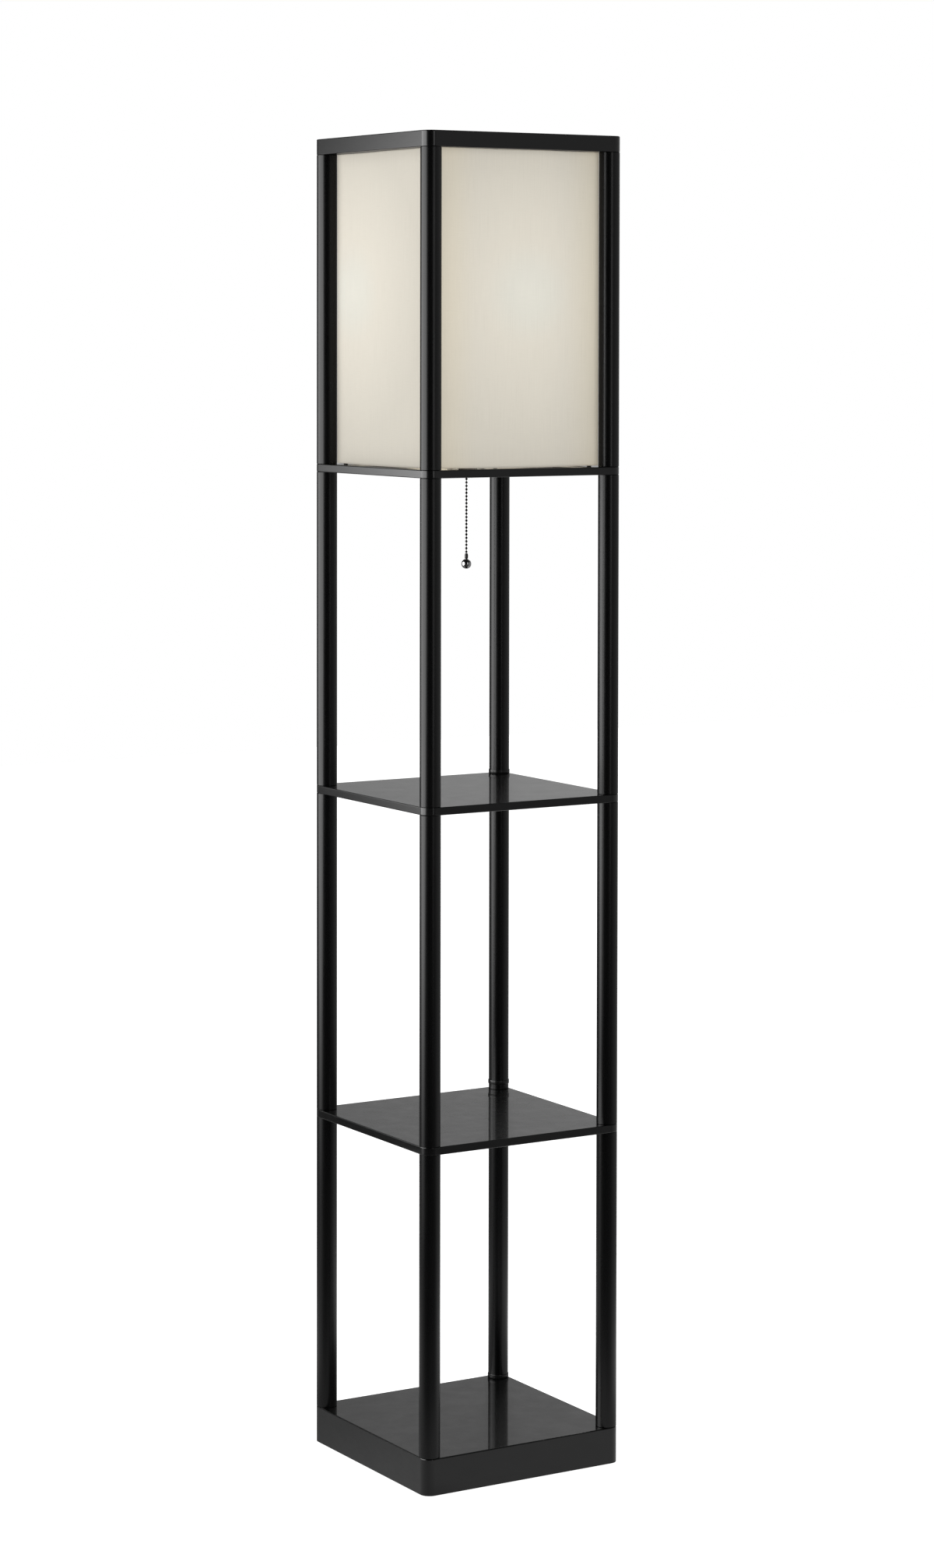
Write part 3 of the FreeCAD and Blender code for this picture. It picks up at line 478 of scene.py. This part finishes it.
# The cloth's own map, in metres: along the wrap from the lapped corner, and up.
cloth_map = bm.loops.layers.uv.new("cloth")
whole_wrap = 8 * cloth_half
for face in bm.faces:
    wraps = [along_wrap(loop.vert.co) for loop in face.loops]
    over_lap = max(wraps) - min(wraps) > 2.5 * cloth_half
    for loop, wrapped in zip(face.loops, wraps):
        if over_lap and wrapped < cloth_half:
            wrapped += whole_wrap
        loop[cloth_map].uv = (wrapped, loop.vert.co.z - cloth_low.z)

shade_cloth, tree, skin, place = new_finish("shade_cloth", {
    "Roughness": 0.85, "Specular IOR Level": 0.25, "Sheen Weight": 0.15, "Sheen Roughness": 0.4,
    "Emission Strength": 1.0})
wrap = put(tree, "UVMap", uv_map="cloth").outputs[0]
along, up = along_axis(tree, wrap, "X"), along_axis(tree, wrap, "Y")
warp = grain(tree, wrap, 1.0, (1500.0, 26.0, 0.0), 3.0)
weft = grain(tree, wrap, 1.0, (60.0, 1700.0, 0.0), 2.0)
slub = spread(tree, grain(tree, wrap, 1.0, (520.0, 9.0, 0.0), 2.0), 0.52, 0.78)
threads = calc(tree, "ADD", times(tree, warp, 0.65), times(tree, weft, 0.35))
thick = calc(tree, "ADD", threads, times(tree, slub, 0.12))
# In reflections the cloth's colour is painted dark grey, so that the posts mirror it dark.
mirrored = put(tree, "LightPath").outputs["Is Glossy Ray"]
yarn = tint(tree, spread(tree, thick, 0.3, 0.9), (0.64, 0.61, 0.53, 1), (0.60, 0.57, 0.49, 1))
tree.links.new(tint(tree, mirrored, yarn, (0.22, 0.21, 0.19, 1)), skin.inputs["Base Color"])
tree.links.new(relief(tree, thick, 1.2e-4), skin.inputs["Normal"])

# Each side has a painted glow round the spot where the bulb shows, whiter at its middle, fading
# evenly, and yellower by the front right side's corners.
bulb_spots, spot_height = (0.0986, 0.420, 0.575, 0.805), 1.412 - cloth_low.z
away = 1.0
for spot in bulb_spots:
    away = calc(tree, "MINIMUM", vector(tree, "DISTANCE", wrap, (spot, spot_height, 0.0)), away)
glow = tint(tree, spread(tree, away, 0.02, 0.07), (1.0, 1.0, 0.91, 1), (1.08, 1.0, 0.865, 1))
by_front_corner = times(tree, spread(tree, along, 0.165, 0.215), spread(tree, along, 0.2295, 0.231, 1.0, 0.0))
by_corner = calc(tree, "ADD", spread(tree, along, 0.0, 0.055, 1.0, 0.0), by_front_corner)
glow = tint(tree, by_corner, glow, (1.14, 1.0, 0.745, 1))

# The painted glow grows towards the left side's top, and both hems are painted a little brighter,
# lifting the shade that the top frame and the deck cast on them.
on_left = times(tree, spread(tree, along, 0.229, 0.245), spread(tree, along, 0.455, 0.475, 1.0, 0.0))
height = along_axis(tree, place, "Z")
rising = times(tree, on_left, spread(tree, height, 1.24, 1.58, -0.03, 0.125, "LINEAR"))
level = times(tree, spread(tree, away, 0.0, 0.170, 0.340, 0.204, "LINEAR"), calc(tree, "ADD", 1.0, rising))
for low, high, at_low, at_high in ((0.0, 0.020, 1.16, 1.0), (0.345, 0.372, 1.0, 1.13)):
    level = times(tree, level, spread(tree, up, low, high, at_low, at_high))

# Along the wrap the painted glow falls off towards the corners, as painted shade by the posts and
# the lap, and picks up past them.
round_level = times(tree, spread(tree, along, 0.0055, 0.0063, 0.84, 1.0),
                    spread(tree, along, 0.015, 0.085, 0.87, 1.0))
for low, high, factor in ((0.200, 0.229, 0.90), (0.231, 0.245, 1.16), (0.270, 0.320, 0.955),
                          (0.425, 0.452, 1.20), (0.480, 0.560, 0.88)):
    round_level = times(tree, round_level, spread(tree, along, low, high, 1.0, factor))
let_through = times(tree, spread(tree, thick, 0.3, 0.9, 1.03, 0.955), level)
# In reflections the painted glow is cut to 30%, a painted darkening of what the posts mirror.
unless_mirrored = calc(tree, "SUBTRACT", 1.0, times(tree, mirrored, 0.7))
shine = times(tree, let_through, round_level, unless_mirrored)
tree.links.new(put(tree, "VectorMath", {0: glow, "Scale": shine}, operation="SCALE").outputs[0],
               skin.inputs["Emission Color"])

cloth = new_piece("shade_cloth_sleeve", bm, shade_cloth, smooth=False)
shell = cloth.modifiers.new("thickness", "SOLIDIFY")
shell.thickness, shell.offset = cloth_thick, -1.0
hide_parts("shade_fabric")

# The end of the wrap is glued over its start, in a lap that ends 6 mm along the front right side.
lap_middle, lap_width, lap_thick, lap_short = 0.0038, 0.0046, 0.0003, 0.001
bm = bmesh.new()
bmesh.ops.create_grid(bm, x_segments=1, y_segments=1, size=0.5)
lap_place = Matrix.Translation((cloth_half - lap_middle, -cloth_half, cloth_low.z + cloth_height / 2))
lap_place = lap_place @ Matrix.Rotation(math.pi / 2, 4, "X")
lap_place = lap_place @ Matrix.Diagonal((lap_width, cloth_height - lap_short, 1, 1))
bmesh.ops.transform(bm, verts=bm.verts[:], matrix=lap_place)
lap_map = bm.loops.layers.uv.new("cloth")
for face in bm.faces:
    for loop in face.loops:
        loop[lap_map].uv = (cloth_half - loop.vert.co.x, loop.vert.co.z - cloth_low.z)
walls = bmesh.ops.extrude_face_region(bm, geom=bm.faces[:], use_keep_orig=True)["geom"]
outer = [part for part in walls if isinstance(part, bmesh.types.BMVert)]
bmesh.ops.translate(bm, verts=outer, vec=(0, -lap_thick, 0))
new_piece("shade_lap_seam", bm, shade_cloth, smooth=False)


# ---- Top frame: the open square board that caps the posts ----
# It is cut from the same board as the shelves, with a square opening over the shade.
coat(board_lacquer, "top_frame")


# ---- Room: white paper underfoot, a plain white surround and soft boxes ----
# A wide soft box stands to the left, a small one behind on the right, and a plain fill in front.
def flat_panel(name, corners_at, mat, size):
    """A flat rectangle of the room, size wide and tall, in the place that corners_at puts it."""
    sheet_bm = bmesh.new()
    bmesh.ops.create_grid(sheet_bm, x_segments=1, y_segments=1, size=0.5)
    bmesh.ops.scale(sheet_bm, vec=(size[0], size[1], 1.0), verts=sheet_bm.verts[:])
    bmesh.ops.transform(sheet_bm, matrix=corners_at, verts=sheet_bm.verts[:])
    mesh = bpy.data.meshes.new(name)
    sheet_bm.to_mesh(mesh)
    sheet_bm.free()
    panel = bpy.data.objects.new(name, mesh)
    bpy.context.scene.collection.objects.link(panel)
    mesh.materials.append(mat)
    return panel


def aimed(place, target):
    """A turn that faces a panel at place towards target, with its long side level."""
    back = (Vector(place) - Vector(target)).normalized()
    facing_back = back.to_track_quat("Z", "Y").to_matrix().to_4x4()
    return Matrix.Translation(place) @ facing_back @ Matrix.Rotation(math.pi, 4, "Y")


def soft_box(name, centre, target, size, strength, full, out, squash=1.0, most=10.0,
             shown_by=("glossy", "diffuse")):
    """A panel that lights from its front only.

    It gives its strength within full metres of its centre, less and less from there to out, and never
    more than most. Heights off its centre count squash times.
    """
    mat = bpy.data.materials.new(name)
    mat.use_nodes = True
    tree = mat.node_tree
    tree.nodes.clear()
    off = vector(tree, "SUBTRACT", put(tree, "TexCoord").outputs["Object"], centre)
    away = vector(tree, "LENGTH", vector(tree, "MULTIPLY", off, (1.0, 1.0, squash)))
    level = calc(tree, "MINIMUM", spread(tree, away, full, out, strength, 0.0), most)
    front = calc(tree, "SUBTRACT", 1.0, put(tree, "NewGeometry").outputs["Backfacing"])
    lamp = put(tree, "Emission", {"Strength": times(tree, level, front)})
    put(tree, "OutputMaterial", {"Surface": lamp.outputs[0]})
    panel = flat_panel(name, aimed(centre, target), mat, size)
    panel.visible_camera = panel.visible_shadow = False
    panel.visible_glossy = "glossy" in shown_by
    panel.visible_diffuse = "diffuse" in shown_by


to_camera = Vector((-0.5187, -0.8550, 0.0))
to_left = Vector((-0.8550, 0.5187, 0.0))

# Glossy surfaces see painted light on the paper: bright beside and behind the lamp, and dark towards the
# camera.
paper, tree, skin, place = new_finish("floor_paper", {"Roughness": 0.7, "Specular IOR Level": 0.2,
                                                      "Emission Color": (1, 1, 1, 1)})
seen = put(tree, "LightPath").outputs
from_lamp = vector(tree, "LENGTH", place)
heading = vector(tree, "NORMALIZE", place)
towards = vector(tree, "DOT_PRODUCT", heading, tuple(to_camera))
leftward = vector(tree, "DOT_PRODUCT", heading, tuple(to_left))
farther = times(tree, spread(tree, towards, 0.0, 0.9, 0.47, 0.07),
                spread(tree, leftward, -0.2, 0.3, 1.0, 0.60), spread(tree, from_lamp, 0.5, 1.1, 1.9, 0.60))
close_by = times(tree, spread(tree, leftward, -0.2, 0.3, 0.35, 0.26),
                 spread(tree, along_axis(tree, place, "Y"), -0.06, 0.24, 1.2, 0.80))
far_share = spread(tree, from_lamp, 0.35, 0.60)
lit = calc(tree, "ADD", times(tree, farther, far_share),
           times(tree, calc(tree, "SUBTRACT", 1.0, far_share), close_by))
tree.links.new(tint(tree, seen["Is Glossy Ray"], (0.80, 0.80, 0.80, 1), (0.0, 0.0, 0.0, 1)),
               skin.inputs["Base Color"])
as_seen = calc(tree, "ADD", times(tree, seen["Is Camera Ray"], 0.93), times(tree, seen["Is Glossy Ray"], lit))
tree.links.new(as_seen, skin.inputs["Emission Strength"])
flat_panel("floor", Matrix.Identity(4), paper, (14.0, 14.0))

soft_box("left_soft_box", (-1.417, 0.493, 1.21), (0, 0, 1.21), size=(3.0, 2.41), strength=6.0, full=0.38,
         out=1.50, squash=1.15, most=3.2, shown_by=("glossy",))
soft_box("left_fill", (-1.437, 0.500, 1.45), (0, 0, 1.45), size=(2.4, 2.9), strength=1.00, full=2.0, out=2.1,
         shown_by=("diffuse",))
soft_box("front_fill", tuple(to_camera * 3.3 - to_left * 1.2 + Vector((0, 0, 1.5))), (0, 0, 1.0),
         size=(2.6, 2.4), strength=2.08, full=2.0, out=2.1, shown_by=("diffuse",))
soft_box("front_strip", (0.0, -2.5, 1.6), (0, 0, 1.6), size=(0.8, 3.0), strength=1.0, full=0.18, out=0.36,
         squash=0.22, shown_by=("glossy",))
soft_box("rear_right_light", (1.62, 1.17, 1.98), (0, 0, 1.6), size=(0.4, 0.45), strength=6.0, full=0.1,
         out=0.3)

# The surround is plain white to the camera. Glossy surfaces see it brighter behind the lamp and
# darker to the left, overhead and towards the camera.
world = bpy.data.worlds.new("surround")
bpy.context.scene.world = world
world.use_nodes = True
tree = world.node_tree
tree.nodes.clear()
seen = put(tree, "LightPath").outputs
way = put(tree, "TexCoord").outputs["Generated"]
facing = vector(tree, "DOT_PRODUCT", way, tuple(to_camera))
ramp = put(tree, "ValToRGB", {"Fac": spread(tree, facing, -1.0, 1.0, kind="LINEAR")})
stops = ramp.color_ramp.elements
for at, level in ((0.0, 0.44), (0.07, 0.42), (0.25, 0.30), (0.50, 0.28), (0.73, 0.25), (0.85, 0.17),
                  (0.94, 0.02), (1.0, 0.01)):
    stop = stops[0] if at == 0.0 else stops[-1] if at == 1.0 else stops.new(at)
    stop.color = (level, level, level, 1)
on_side = spread(tree, vector(tree, "DOT_PRODUCT", way, tuple(to_left)), -0.10, 0.28, 1.0, 0.12)
overhead = spread(tree, along_axis(tree, way, "Z"), 0.0, 0.8, 1.0, 0.15)
for_glossy = times(tree, ramp.outputs[0], on_side, overhead, seen["Is Glossy Ray"])
for_diffuse = times(tree, seen["Is Diffuse Ray"], 0.42)
straight = calc(tree, "MAXIMUM", seen["Is Camera Ray"], seen["Is Transmission Ray"])
strength = calc(tree, "ADD", calc(tree, "ADD", for_glossy, for_diffuse), straight)
light = put(tree, "Background", {"Color": (1, 1, 1, 1), "Strength": strength})
put(tree, "OutputWorld", {"Surface": light.outputs[0]})


# ---- Camera: where the photo was taken from ----
# It stands 4.6 m off, a little below the shade's middle, and looks slightly down.
down, roll, round_from_front = 2.035, -0.086, -31.245
camera = bpy.data.objects.new("camera", bpy.data.cameras.new("camera"))
bpy.context.scene.collection.objects.link(camera)
camera.location = (-2.362, -3.894, 1.3605)
camera.rotation_euler = (math.radians(90 - down), math.radians(roll), math.radians(round_from_front))
camera.data.lens = 86.46
camera.data.shift_y = -0.20
bpy.context.scene.camera = camera
bpy.context.scene.view_settings.view_transform = "Standard"
